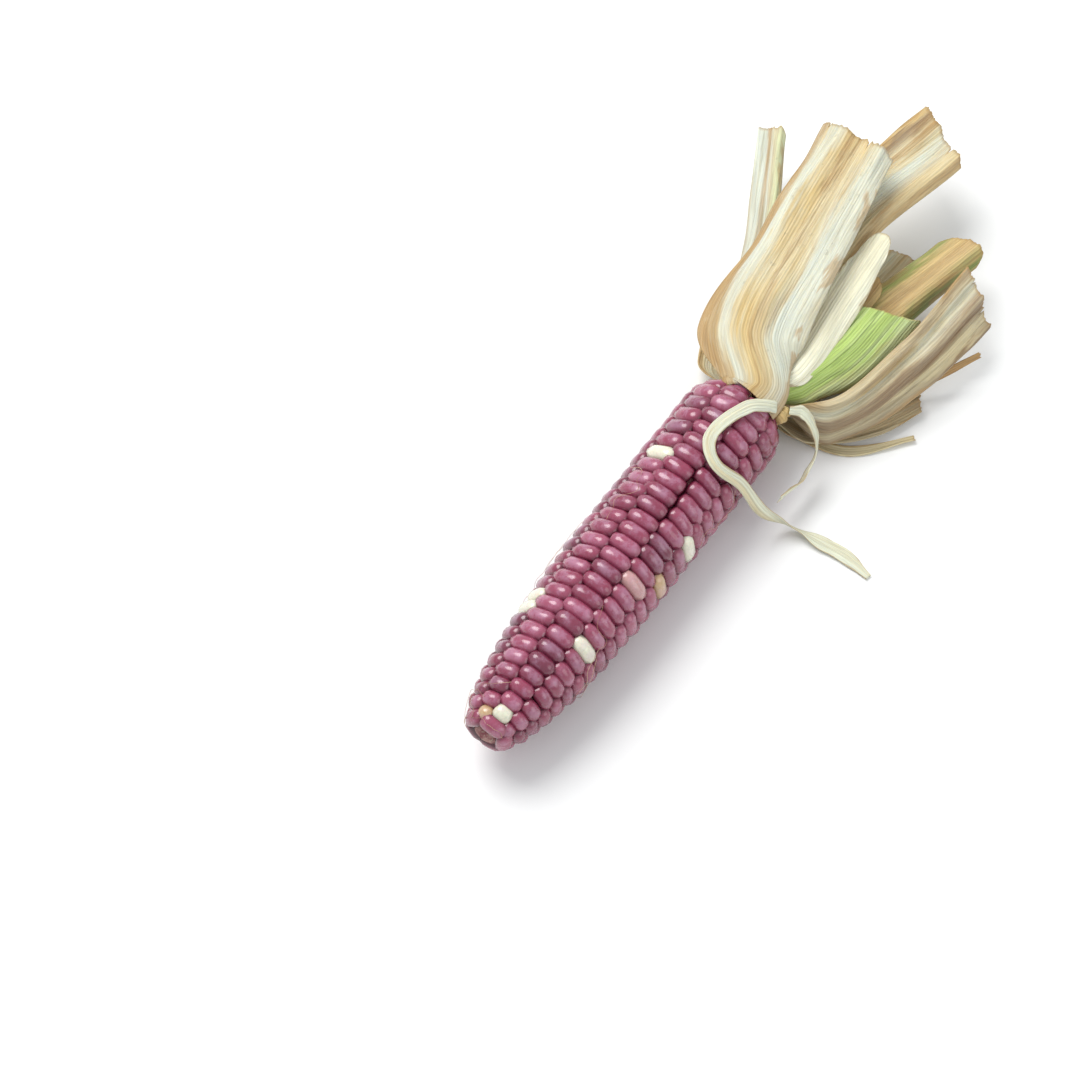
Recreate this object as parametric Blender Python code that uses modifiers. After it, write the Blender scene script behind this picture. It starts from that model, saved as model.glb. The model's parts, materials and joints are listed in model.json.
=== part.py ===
"""An ear of red flint corn lying on its side, with its husk peeled back and tied behind it.

The ear, cob and kernels grown as one, lies along X with its tip towards -X. The bases of the husk leaves
clasp the stem behind it in rings, a strip of husk binds them, and the leaves fan out towards +X. Metres,
+Z up. The origin is under the middle of the whole object, on the surface that it lies on.
"""

import math
from collections import namedtuple

import bmesh
import bpy
from mathutils import Matrix, Vector

MM = 0.001

# The ear
EAR_LENGTH = 134 * MM
EAR_RADIUS = 15.9 * MM
SHOULDER_RADIUS = 9 * MM
SHOULDER_LENGTH = 11 * MM
TAPER_FROM = 0.4
KERNEL_ROWS = 10
KERNELS_IN_ROW = 28
KERNEL_RELIEF = 1.6 * MM
ROW_TWIST = math.radians(24)
COLUMNS_PER_ROW = 4
RINGS_PER_KERNEL = 2

# The neck behind the ear: its stem, the rings of leaf bases, and the band that ties them. Its centre line
# is the X axis of the ear, at AXIS_HEIGHT.
AXIS_HEIGHT = 16.3 * MM
STEM_RADIUS = 4.2 * MM
STEM_START = 0.5 * MM
STEM_LENGTH = 10.5 * MM
LEAF_THICKNESS = 0.5 * MM
LEAF_START = 1.0 * MM
BASE_LENGTH = 4.6 * MM
RING_RADII = {2: 5.4 * MM, 3: 6.6 * MM, 4: 7.8 * MM, 5: 9.0 * MM, 6: 14.5 * MM}
OUTER_LEAF_START = -3.0 * MM
BAND_START = 1.2 * MM
BAND_WIDTH = 3.2 * MM
BAND_RADIUS = 9.9 * MM
BAND_THICKNESS = 0.6 * MM
KNOT_CENTRE = Vector((0.4, -12.1, 22)) * MM
KNOT_RADII = Vector((2.6, 2.0, 2.4)) * MM
LEAF_SEGMENTS = 14
LEAF_COLUMNS = 6
STRIP_SEGMENTS_PER_POINT = 3

# A husk leaf. Angles are in degrees round the X axis, where 0 is up and 90 is +Y. ring and angle place its
# base on the neck and span is how far round the neck the base wraps. belly, middle and end are points of
# its centre line in mm, widths are its widths there in mm, facing is where its outer face looks at the
# end, cup is the arc of its cross-section there, and slant is how far the cut end is askew in mm.
Leaf = namedtuple("Leaf", "name ring angle span belly middle end widths facing cup slant")
LEAVES = (
    Leaf("husk_broad_top", 6, -12, 84, (14, 9, 33), (42, 14.5, 37.8), (89, 19, 38.5),
         (33, 35, 28), 12, 60, 0),
    Leaf("husk_back_top", 3, 4, 66, (17, 5, 26), (66, 9, 27), (113, 1, 26.5), (16, 22, 24), 0, 40, -5),
    Leaf("husk_cream_inner", 4, -21, 26, (15, -7.6, 24.4), (38, -7.2, 29.2), (67, -5, 30),
         (10.6, 13.2, 9), -14, 40, 0),
    Leaf("husk_green", 4, -66, 48, (13, -11.8, 20.4), (30, -16.8, 21), (47, -18, 22.8),
         (12.4, 20, 21), -26, 60, 7),
    Leaf("husk_short_fold", 3, -62, 30, (16, -7, 20), (34, -9, 21), (58, -9.5, 23),
         (7, 8, 9), -20, 40, -1),
    Leaf("husk_back_right", 2, -58, 70, (16, -7, 17), (50, -16, 18), (87, -25.5, 20),
         (9, 13, 12), -16, 40, 2),
    Leaf("husk_striped_right", 5, -105, 58, (11, -23.5, 12.5), (40, -34, 16), (72, -38, 18.5),
         (17, 18, 20), -40, 50, -4),
    Leaf("husk_curled_edge", 3, -134, 16, (14, -11.8, 7.2), (36, -32, 5.4), (60, -46, 8.5),
         (4, 4, 3), -60, 60, 0),
    Leaf("husk_low_right", 5, -152, 22, (10, -17, 3.0), (24, -30, 2.2), (40, -38, 3),
         (8, 10, 8), -168, 20, 2),
    Leaf("husk_thin_hooked", 5, -171, 10, (8, -12, 2.4), (13, -29, 0.9), (28, -43, 0.8),
         (3.5, 3.5, 2), -178, 8, 0),
    Leaf("husk_small_left", 4, 80, 50, (18, 17, 17), (52, 31, 19), (87, 48.5, 21),
         (11, 12, 9), 40, 70, 0),
    Leaf("husk_left_inner", 3, 72, 56, (14, 10, 15), (36, 16, 16), (64, 22, 15), (12, 17, 14), 30, 40, 2),
    Leaf("husk_under_left", 5, 145, 60, (14, 16.6, 3.4), (34, 21, 1.6), (66, 27, 0.8),
         (16, 21, 19), 176, 12, 3),
    Leaf("husk_under_middle", 4, 197, 36, (14, -2.2, 5), (40, -4, 2.4), (84, -8, 0.8),
         (15, 21, 20), 180, 12, -3),
)

# The two loose ends of the strip that ties the husk: points in mm and, at each, where its face looks.
STRIP_WIDTH = 4.2 * MM
STRIP_THICKNESS = 0.5 * MM
StripPoint = namedtuple("StripPoint", "x y z facing")
LONG_STRIP = (
    StripPoint(-1.2, -11, 27, -44),
    StripPoint(-4.5, -8.8, 30.5, -32),
    StripPoint(-9, -5.9, 32.9, -22),
    StripPoint(-18.8, -2.7, 33.5, -10),
    StripPoint(-25.5, -3.4, 33.4, -16),
    StripPoint(-29.6, -8.8, 31.2, -30),
    StripPoint(-27, -15.9, 24, -62),
    StripPoint(-24.7, -22.8, 11.5, -70),
    StripPoint(-19.7, -31.1, 3, -30),
    StripPoint(-18.4, -40, 0.9, -5),
    StripPoint(-18.1, -48, 0.8, 0),
    StripPoint(-20.3, -58, 0.8, 0),
)
LOOP_STRIP = (
    StripPoint(1.6, -13.8, 24.2, -60),
    StripPoint(4, -17.3, 23.2, -66),
    StripPoint(3.4, -22, 18.5, -78),
    StripPoint(0.6, -24.8, 12.8, -90),
    StripPoint(-7.5, -25.8, 9.6, -100),
    StripPoint(-14.5, -24.8, 10.5, -104),
    StripPoint(-19.5, -24.6, 12.8, -100),
)

MATERIALS = {
    "ear": ((0.30, 0.055, 0.09), 0.3),
    "stem": ((0.62, 0.52, 0.33), 0.7),
    "dry": ((0.62, 0.50, 0.32), 0.6),
    "green": ((0.45, 0.55, 0.22), 0.5),
    "pale": ((0.75, 0.70, 0.52), 0.6),
}
GREEN_LEAVES = ("husk_green",)
PALE_LEAVES = ("husk_cream_inner", "husk_small_left", "husk_low_right")


def clear_scene():
    for obj in list(bpy.data.objects):
        bpy.data.objects.remove(obj)


def make_material(name):
    colour, roughness = MATERIALS[name]
    made = bpy.data.materials.new(name)
    made.use_nodes = True
    shader = made.node_tree.nodes["Principled BSDF"]
    shader.inputs["Base Color"].default_value = (*colour, 1)
    shader.inputs["Roughness"].default_value = roughness
    return made


def add_object(name, mesh_builder, material):
    """Make one named object of the bmesh, shaded smooth, with its material."""
    mesh = bpy.data.meshes.new(name)
    mesh_builder.to_mesh(mesh)
    mesh_builder.free()
    mesh.shade_smooth()
    mesh.materials.append(material)
    obj = bpy.data.objects.new(name, mesh)
    bpy.data.collections["corn_cob"].objects.link(obj)
    return obj


def solidify(obj, thickness, offset):
    """Give an open surface its thickness: offset 1 is all outwards, 0 is half on each side."""
    shell = obj.modifiers.new("thickness", "SOLIDIFY")
    shell.thickness = thickness
    shell.offset = offset


def direction(angle):
    """The unit vector at an angle in degrees round the X axis."""
    return Vector((0, math.sin(math.radians(angle)), math.cos(math.radians(angle))))


def ease(t):
    return t * t * (3 - 2 * t)


def ear_radius(along):
    """The radius to the kernels' crowns at a distance from the base."""
    if along < SHOULDER_LENGTH:
        short = 1 - along / SHOULDER_LENGTH
        return SHOULDER_RADIUS + (EAR_RADIUS - SHOULDER_RADIUS) * math.sqrt(1 - short**2)
    taper = max(0, (along / EAR_LENGTH - TAPER_FROM) / (1 - TAPER_FROM))
    return EAR_RADIUS * (1 - min(1, taper) ** 2.6) ** 0.36


def build_ear(material):
    """The cob with its kernels: a sphere drawn out to the ear's outline, with a bump for each kernel."""
    columns = KERNEL_ROWS * COLUMNS_PER_ROW
    rings = KERNELS_IN_ROW * RINGS_PER_KERNEL
    builder = bmesh.new()
    bmesh.ops.create_uvsphere(builder, u_segments=columns, v_segments=rings, radius=1)
    for vertex in builder.verts:
        ring = round(math.acos(max(-1, min(1, vertex.co.z))) / math.pi * rings)
        column = round(math.atan2(vertex.co.y, vertex.co.x) / math.tau * columns) % columns
        row, place = divmod(column, COLUMNS_PER_ROW)
        across = math.sin(math.pi * place / COLUMNS_PER_ROW)
        lengthwise = 1 if (ring + row) % RINGS_PER_KERNEL else 0.35
        share = ring / rings
        radius = ear_radius(share * EAR_LENGTH) - KERNEL_RELIEF * (1 - across * lengthwise)
        if ring in (0, rings):
            radius = 0
        turn = math.tau * (column - COLUMNS_PER_ROW / 2) / columns + ROW_TWIST * (share - 0.5)
        out = Vector((0, -math.sin(turn), math.cos(turn)))
        vertex.co = Vector((-share * EAR_LENGTH, 0, AXIS_HEIGHT)) + radius * out
    add_object("ear", builder, material)


def build_stem(material):
    """The cut stem that the husk leaves grow from, hidden in their rings."""
    builder = bmesh.new()
    bmesh.ops.create_cone(
        builder, cap_ends=True, segments=24, radius1=STEM_RADIUS, radius2=STEM_RADIUS * 0.85,
        depth=STEM_LENGTH)
    middle = Vector((STEM_START + STEM_LENGTH / 2, 0, AXIS_HEIGHT))
    bmesh.ops.transform(
        builder, matrix=Matrix.Translation(middle) @ Matrix.Rotation(math.pi / 2, 4, "Y"), verts=builder.verts)
    add_object("stem", builder, material)


def curve_direction(points, index):
    return (points[min(index + 1, len(points) - 1)] - points[max(index - 1, 0)]).normalized()


def curve_point(points, t):
    """A smooth curve through the points, which it reaches at whole values of t."""
    index = min(int(t), len(points) - 2)
    near, far = points[index], points[index + 1]
    reach = (far - near).length / 3
    near_handle = near + curve_direction(points, index) * reach
    far_handle = far - curve_direction(points, index + 1) * reach
    f = t - index
    g = 1 - f
    return near * g**3 + near_handle * (3 * g * g * f) + far_handle * (3 * g * f * f) + far * f**3


def curve_value(values, t):
    """Ease from each value to the next, in step with curve_point."""
    index = min(int(t), len(values) - 2)
    return values[index] + (values[index + 1] - values[index]) * ease(t - index)


def curve_frame(points, t, facing):
    """The point at t, the way along the curve, the outward normal nearest to facing, and the side."""
    step = 0.02
    here = curve_point(points, t)
    ahead = curve_point(points, min(t + step, len(points) - 1))
    behind = curve_point(points, max(t - step, 0))
    along = (ahead - behind).normalized()
    out = direction(facing)
    out = (out - along * out.dot(along)).normalized()
    return here, along, out, along.cross(out)


def leaf_profile(leaf):
    """The leaf's centre line and, at its points, its width, the arc of its section and its facing."""
    radius = RING_RADII[leaf.ring]
    start = OUTER_LEAF_START if leaf.ring == 6 else LEAF_START
    base = Vector((start, 0, AXIS_HEIGHT)) + radius * direction(leaf.angle)
    points = [base, base + Vector((BASE_LENGTH, 0, 0))]
    points += [Vector(point) * MM for point in (leaf.belly, leaf.middle, leaf.end)]
    base_width = radius * math.radians(leaf.span)
    widths = [base_width, base_width] + [width * MM for width in leaf.widths]
    arcs = [leaf.span, leaf.span, (leaf.span + leaf.cup) / 2, leaf.cup, leaf.cup]
    turn = leaf.facing - leaf.angle
    facings = [leaf.angle, leaf.angle, leaf.angle + turn * 0.5, leaf.angle + turn * 0.85, leaf.facing]
    return points, widths, [math.radians(arc) for arc in arcs], facings


def leaf_point(leaf, t, v):
    """A point of the leaf: t runs from 0 at its base to 4 at its end, v from -1 to 1 across it."""
    points, widths, arcs, facings = leaf_profile(leaf)
    here, along, out, side = curve_frame(points, t, curve_value(facings, t))
    arc = curve_value(arcs, t)
    radius = curve_value(widths, t) / arc
    bend = v * arc / 2
    askew = along * (leaf.slant * MM * v * (t / 4) ** 3)
    return here + out * (radius * (math.cos(bend) - 1)) + side * (radius * math.sin(bend)) + askew


def build_leaf(leaf, material):
    """One husk leaf: a grid laid along its centre line, with Solidify for its thickness."""
    builder = bmesh.new()
    bmesh.ops.create_grid(builder, x_segments=LEAF_SEGMENTS, y_segments=LEAF_COLUMNS, size=1)
    for vertex in builder.verts:
        segment = round((vertex.co.x + 1) / 2 * LEAF_SEGMENTS)
        t = 0 if segment == 0 else 1 + 3 * (segment - 1) / (LEAF_SEGMENTS - 1)
        vertex.co = leaf_point(leaf, t, vertex.co.y)
    add_object(leaf.name, builder, material)
    solidify(bpy.data.objects[leaf.name], LEAF_THICKNESS, 0)


def build_band(material):
    """The strip of husk wound round the neck, as one flat ring."""
    builder = bmesh.new()
    bmesh.ops.create_cone(
        builder, cap_ends=False, segments=36, radius1=BAND_RADIUS, radius2=BAND_RADIUS, depth=BAND_WIDTH)
    middle = Vector((BAND_START + BAND_WIDTH / 2, 0, AXIS_HEIGHT))
    bmesh.ops.transform(
        builder, matrix=Matrix.Translation(middle) @ Matrix.Rotation(math.pi / 2, 4, "Y"), verts=builder.verts)
    band = add_object("tie_band", builder, material)
    solidify(band, BAND_THICKNESS, 1)


def build_knot(material):
    """The small flattened knot on the band."""
    builder = bmesh.new()
    bmesh.ops.create_uvsphere(builder, u_segments=14, v_segments=8, radius=1)
    place = Matrix.Translation(KNOT_CENTRE) @ Matrix.Diagonal((*KNOT_RADII, 1))
    bmesh.ops.transform(builder, matrix=place, verts=builder.verts)
    add_object("tie_knot", builder, material)


def build_strip(name, strip, material):
    """A loose end of the tie: a flat ribbon through its points."""
    points = [Vector(point[:3]) * MM for point in strip]
    facings = [point.facing for point in strip]
    segments = (len(points) - 1) * STRIP_SEGMENTS_PER_POINT
    builder = bmesh.new()
    bmesh.ops.create_grid(builder, x_segments=segments, y_segments=1, size=1)
    for vertex in builder.verts:
        t = (vertex.co.x + 1) / 2 * (len(points) - 1)
        here, along, out, side = curve_frame(points, t, curve_value(facings, t))
        vertex.co = here + side * (vertex.co.y * STRIP_WIDTH / 2)
    ribbon = add_object(name, builder, material)
    solidify(ribbon, STRIP_THICKNESS, 0)


def stand_on_origin(objects):
    """Move everything so that the origin is under the middle of the whole, at its lowest point."""
    depsgraph = bpy.context.evaluated_depsgraph_get()
    corners = []
    for obj in objects:
        mesh = obj.evaluated_get(depsgraph).to_mesh()
        corners += [vertex.co.copy() for vertex in mesh.vertices]
    low = Vector(min(corner[axis] for corner in corners) for axis in range(3))
    high = Vector(max(corner[axis] for corner in corners) for axis in range(3))
    for obj in objects:
        obj.location = -Vector(((low.x + high.x) / 2, (low.y + high.y) / 2, low.z))


def main():
    clear_scene()
    collection = bpy.data.collections.new("corn_cob")
    bpy.context.scene.collection.children.link(collection)
    materials = {name: make_material(name) for name in MATERIALS}
    build_ear(materials["ear"])
    build_stem(materials["stem"])
    for leaf in LEAVES:
        kind = "green" if leaf.name in GREEN_LEAVES else "pale" if leaf.name in PALE_LEAVES else "dry"
        build_leaf(leaf, materials[kind])
    build_band(materials["dry"])
    build_knot(materials["dry"])
    build_strip("tie_strip_long", LONG_STRIP, materials["pale"])
    build_strip("tie_strip_loop", LOOP_STRIP, materials["pale"])
    stand_on_origin(collection.objects)


main()
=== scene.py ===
"""Looks of an ear of red flint corn: glossy kernels in rows, a dry husk peeled back and tied, and silk."""

import json
import math
import random
from collections import namedtuple

import bpy
from bpy.props import FloatProperty, FloatVectorProperty, IntProperty, PointerProperty
from bpy.types import Operator, Panel, PropertyGroup
from mathutils import Matrix, Vector, noise


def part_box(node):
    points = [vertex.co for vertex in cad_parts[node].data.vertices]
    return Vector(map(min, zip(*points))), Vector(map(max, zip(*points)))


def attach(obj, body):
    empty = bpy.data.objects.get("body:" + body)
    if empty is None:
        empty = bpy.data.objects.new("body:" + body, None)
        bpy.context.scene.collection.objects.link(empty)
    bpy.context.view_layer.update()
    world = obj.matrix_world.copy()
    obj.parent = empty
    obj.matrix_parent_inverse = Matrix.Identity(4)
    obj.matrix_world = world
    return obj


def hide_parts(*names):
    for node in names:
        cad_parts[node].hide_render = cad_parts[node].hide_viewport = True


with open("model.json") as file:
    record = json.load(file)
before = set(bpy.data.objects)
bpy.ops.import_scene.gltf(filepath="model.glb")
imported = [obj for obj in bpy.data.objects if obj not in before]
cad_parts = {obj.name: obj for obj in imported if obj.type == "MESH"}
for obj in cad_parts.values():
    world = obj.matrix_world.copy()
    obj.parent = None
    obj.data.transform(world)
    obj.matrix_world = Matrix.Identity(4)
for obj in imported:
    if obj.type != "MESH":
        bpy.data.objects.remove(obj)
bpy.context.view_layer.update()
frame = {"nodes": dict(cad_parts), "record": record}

bl_info = {
    "name": "Red Flint Corn",
    "version": (1, 0, 0),
    "blender": (4, 5, 0),
    "location": "View3D > Sidebar > Corn",
    "description": "Builds the kernels, husk, tie and silk of an ear of corn",
    "category": "Add Mesh",
}

MM = 0.001

# The frame's own places: the ear's axis is the line through the middle of the tie band, along X.
EAR_LOW, EAR_HIGH = (Vector(corner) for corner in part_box("ear"))
BAND_LOW, BAND_HIGH = (Vector(corner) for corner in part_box("tie_band"))
KNOT_LOW, KNOT_HIGH = (Vector(corner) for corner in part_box("tie_knot"))
EAR_LENGTH = EAR_HIGH.x - EAR_LOW.x
NECK = Vector((EAR_HIGH.x, (BAND_LOW.y + BAND_HIGH.y) / 2, (BAND_LOW.z + BAND_HIGH.z) / 2))
AXIS_HEIGHT = 16.3 * MM
PLAN_ORIGIN = NECK - Vector((0, 0, AXIS_HEIGHT))

# Where the camera looks, from the neck, and where the lights stand: right of it, beyond it and up, in m
AIM_LEFT = 60.1 * MM
AIM_NEAR = 45.3 * MM
KEY_PLACE, KEY_SIZE = (-0.35, 0.35, 0.8), 0.7
FILL_PLACE, FILL_SIZE = (0.8, -0.5, 0.5), 0.8

# The outline of the ear, as in its solid
EAR_RADIUS = 15.9 * MM
SHOULDER_RADIUS = 9 * MM
SHOULDER_LENGTH = 11 * MM
TAPER_FROM = 0.4

# The kernel rows. The first row's angle is at the base, and 0 is up, with + towards +Y.
KERNEL_ROWS = 10
FIRST_ROW_ANGLE = 4.0
ROW_TWIST = -24.0
PARTED_ROWS = (0, 9)
PARTING_FROM = 30 * MM
PARTING_TO = 54 * MM
PARTING_ANGLE = 3.4
PARTING_EASE = 6 * MM

# How the kernels are packed: they press into their neighbours by a tenth, are loose near the base, and
# every other row ends where the ear gets too narrow for it. A bare cob shows at the very tip.
KERNEL_SQUEEZE = 1.1
KERNEL_WIDEST = 10.8 * MM
PACKED_DEPTH = 1.3 * MM
NARROW_CROWN = 7.2 * MM
LOOSE_LENGTH = 16 * MM
LAST_KERNEL = 0.9 * MM
BARE_TIP_LENGTH = 6 * MM
BARE_TIP_SHARE = 0.85

# Kernels that lack the red: row, distance from the base in mm, and kind. Row 0 is the top row at the
# base, and the rows count up towards +Y.
ODD_KERNELS = (
    (1, 32.5, "white"), (8, 49, "white"), (8, 64.6, "tan"), (9, 72, "blush"), (9, 95.3, "white"),
    (0, 128.5, "white"), (1, 130.5, "tan"), (2, 92.3, "white"), (2, 97, "white"),
    (5, 58, "white"), (6, 100, "blush"), (4, 118, "tan"),
)

# Where silk threads start, as shares of the ear's length and angles: at the tip, along the left, anywhere
SILK_REGIONS = ((0.86, 0.97, -80, 80), (0.3, 0.7, 40, 74), (0.1, 0.9, -120, 170))
SILK_STEP = 0.9 * MM

# The leaves' rings on the neck, as in the solids. The outer ring lies over the ear's shoulder.
LEAF_START = 1.0 * MM
BASE_LENGTH = 4.6 * MM
RING_RADII = {2: 5.4 * MM, 3: 6.6 * MM, 4: 7.8 * MM, 5: 9.0 * MM, 6: 14.5 * MM}
OUTER_RING, OUTER_LEAF_START = 6, -3.0 * MM

# A husk leaf. The first eleven fields are its plan, close to its solid's: angles are in degrees round the X
# axis, where 0 is up and 90 is +Y, and lengths are in mm. pleats are folds across the width and pleat
# their height in mm, curl is how far its edges roll in mm, ragged is how uneven its cut end is in mm, and
# slits are tears at its end: place across from -1 to 1, and length in mm.
Leaf = namedtuple(
    "Leaf", "name ring angle span belly middle end widths facing cup slant pleats pleat curl ragged slits")
LEAVES = (
    Leaf("husk_broad_top", 6, -12, 84, (14, 8.6, 33), (42, 12.8, 37.8), (89, 19, 38.5),
         (34, 31.5, 28), 12, 60, -3, 1.6, 1.5, 0.8, 2, ((0.36, 5), (-0.7, 4))),
    Leaf("husk_back_top", 3, 4, 66, (17, 5, 26), (66, 9, 27), (113, 1, 26.5),
         (16, 22, 24), 0, 40, -5, 1.1, 2.4, 2.5, 2.5, ((0.5, 6),)),
    Leaf("husk_cream_inner", 4, -21, 26, (15, -7.6, 24.4), (38, -7.2, 29.2), (67, -5, 30),
         (10.6, 13.2,
         9), -14, 40, 0, 0.8, 0.5, 0.8, 0.6, ()),
    Leaf("husk_green", 4, -66, 48, (13, -11.8, 20.4), (30, -16.8, 21), (48.5, -18.6, 23),
         (13, 22.5,
         23.5), -26, 60, 7, 1.2, 0.5, 0.9, 1.2, ()),
    Leaf("husk_short_fold", 3, -62, 30, (16, -7, 20), (34, -9, 21), (58, -9.5, 23),
         (7, 8, 9), -20, 40, -1, 0.8, 1, 1.5, 1.5, ()),
    Leaf("husk_back_right", 2, -58, 70, (16, -7, 17), (50, -16, 18), (87, -25.5, 20),
         (9, 15.5, 14), -16, 40, 2, 1, 0.9, 1.2, 1.5, ()),
    Leaf("husk_striped_right", 5, -105, 58, (11, -23.5, 12.5), (40, -34, 16), (72, -38, 18.5),
         (17, 18,
         20), -40, 50, -4, 2.4, 1.1, 0.8, 2.5, ((0.3, 5), (-0.55, 3))),
    Leaf("husk_curled_edge", 3, -134, 16, (14, -11.8, 7.2), (36, -32, 5.4), (60, -46, 8.5),
         (4, 4, 3), -60, 60, 0, 0.6, 0.4, 0.5, 1, ()),
    Leaf("husk_low_right", 5, -152, 22, (10, -17, 3.0), (24, -30, 2.2), (40, -38, 3),
         (8, 10, 8), -168, 20, 2, 1.3, 0.5, 0.3, 2, ((-0.3, 4),)),
    Leaf("husk_thin_hooked", 5, -171, 10, (8, -12, 2.4), (13, -29, 0.9), (28, -43, 0.8),
         (3.5, 3.5, 2), -178, 8, 0, 0.6, 0.2, 0.3, 0.5, ()),
    Leaf("husk_small_left", 4, 80, 50, (18, 17, 17), (52, 31, 19), (87, 48.5, 21),
         (12, 14.5, 12), 40, 70, 0, 1.9, 1.2, 1.2, 1.5, ()),
    Leaf("husk_left_inner", 3, 72, 56, (14, 10, 15), (36, 16, 16), (64, 22, 15),
         (12, 17, 14), 30, 40, 2, 1.4, 0.9, 0.8, 2, ()),
    Leaf("husk_under_left", 5, 145, 60, (14, 16.6, 3.4), (34, 21, 1.6), (66, 27, 0.8),
         (16, 21, 19), 176, 12, 3, 1.5, 0.5, -1, 2, ((0.2, 5),)),
    Leaf("husk_under_middle", 4, 197, 36, (14, -2.2, 5), (40, -4, 2.4), (84, -8, 0.8),
         (15, 21, 20), 180, 12, -3, 1.5, 0.6, -1, 2, ((-0.4, 6),)),
)
LEAF_SEGMENTS = 120
PLAN_STEPS = 4
SECTION_STEP = 0.7

# In steps of a leaf's plan: from where it comes free of the neck, and from where its end is cut and torn
FREE_FROM, FREE_OVER = 1.1, 1.6
CUT_FROM, CUT_OVER = 3.2, 0.8

# How narrow a slit is, how far each leaf's fibre pattern is shifted from the last one's, and how far a
# ribbon of the tie is kept above the floor
SLIT_SHARPNESS = 26
FIBRE_SHIFT = 13 * MM
RIBBON_GAP = 0.3 * MM

# How much of a leaf's end is rounded off at its sides, in mm
TIP_ROUNDING = {"husk_cream_inner": 7, "husk_back_right": 6, "husk_short_fold": 3, "husk_small_left": 3}

# How each leaf is coloured: its ground, its streaks, its two edges, how streaky, edged and spotted it is,
# and its long bands: place across from -1 to 1, half width, colour and strength
Tint = namedtuple("Tint", "ground streak minus_edge plus_edge streakiness edging spots bands")
CREAM, STRAW, TAN = (208, 194, 154), (204, 176, 118), (168, 134, 84)
BROWN, PURPLE, IVORY = (120, 90, 54), (134, 110, 84), (255, 252, 224)
GREEN, DEEP_GREEN, PALE_GREEN = (186, 212, 116), (108, 136, 56), (208, 220, 164)
WHITE_GREEN, MILDEW = (204, 208, 192), (112, 110, 96)
PLAIN_LEAF = Tint(CREAM, TAN, STRAW, STRAW, 0.8, 0.5, 0.5, (
    (-0.4, 0.2, TAN, 0.6), (0.5, 0.2, WHITE_GREEN, 0.7)))
TINTS = {
    "husk_broad_top": Tint(CREAM, STRAW, TAN, WHITE_GREEN, 0.7, 0.6, 0.5, (
        (-0.82, 0.16, TAN, 0.7), (-0.45, 0.2, WHITE_GREEN, 0.8), (-0.02, 0.2, STRAW, 0.9),
        (0.06, 0.07, TAN, 0.7), (0.33, 0.06, TAN, 0.6), (0.66, 0.28, WHITE_GREEN, 0.95))),
    "husk_back_top": Tint(CREAM, TAN, TAN, STRAW, 0.7, 0.6, 0.4, (
        (-0.9, 0.16, STRAW, 0.8), (-0.62, 0.12, BROWN, 0.75), (-0.3, 0.1, TAN, 0.6),
        (0.2, 0.3, WHITE_GREEN, 0.95), (0.85, 0.14, TAN, 0.8))),
    "husk_cream_inner": Tint(IVORY, CREAM, IVORY, IVORY, 0.4, 0.3, 0.1, ((-0.6, 0.2, STRAW, 0.35),)),
    "husk_green": Tint(GREEN, PALE_GREEN, GREEN, STRAW, 0.8, 0.5, 0.1, (
        (-0.5, 0.06, DEEP_GREEN, 0.5), (-0.1, 0.05, DEEP_GREEN, 0.45), (0.3, 0.06, DEEP_GREEN, 0.45),
        (0.75, 0.2, PALE_GREEN, 0.7))),
    "husk_short_fold": Tint(STRAW, TAN, TAN, STRAW, 0.8, 0.4, 0.1, ((0.3, 0.2, TAN, 0.5),)),
    "husk_back_right": Tint(STRAW, TAN, DEEP_GREEN, DEEP_GREEN, 0.9, 0.7, 0.2, (
        (0.0, 0.2, TAN, 0.5), (0.8, 0.14, DEEP_GREEN, 0.6))),
    "husk_striped_right": Tint(CREAM, PURPLE, TAN, BROWN, 0.9, 0.6, 0.4, (
        (-0.75, 0.14, BROWN, 0.6), (-0.4, 0.12, WHITE_GREEN, 0.6), (-0.1, 0.12, PURPLE, 0.75),
        (0.25, 0.1, BROWN, 0.7), (0.55, 0.12, CREAM, 0.6), (0.85, 0.1, BROWN, 0.7))),
    "husk_curled_edge": Tint(TAN, BROWN, TAN, BROWN, 0.8, 0.4, 0.1, ()),
    "husk_low_right": Tint(CREAM, BROWN, CREAM, CREAM, 0.8, 0.5, 0.4, ((0.1, 0.2, TAN, 0.6),)),
    "husk_thin_hooked": Tint(CREAM, TAN, CREAM, CREAM, 0.6, 0.3, 0.2, ()),
    "husk_small_left": Tint(WHITE_GREEN, TAN, WHITE_GREEN, PALE_GREEN, 0.6, 0.6, 0.5, (
        (-0.7, 0.2, PALE_GREEN, 0.7), (0.15, 0.12, TAN, 0.7), (0.55, 0.16, CREAM, 0.7))),
    "husk_left_inner": PLAIN_LEAF,
    "husk_under_left": PLAIN_LEAF,
    "husk_under_middle": PLAIN_LEAF,
    "tie": Tint((216, 218, 194), STRAW, (216, 222, 206), CREAM, 0.55, 0.3, 0.2, ()),
    "knot": Tint(STRAW, TAN, STRAW, TAN, 0.8, 0.3, 0.1, ()),
}

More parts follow.
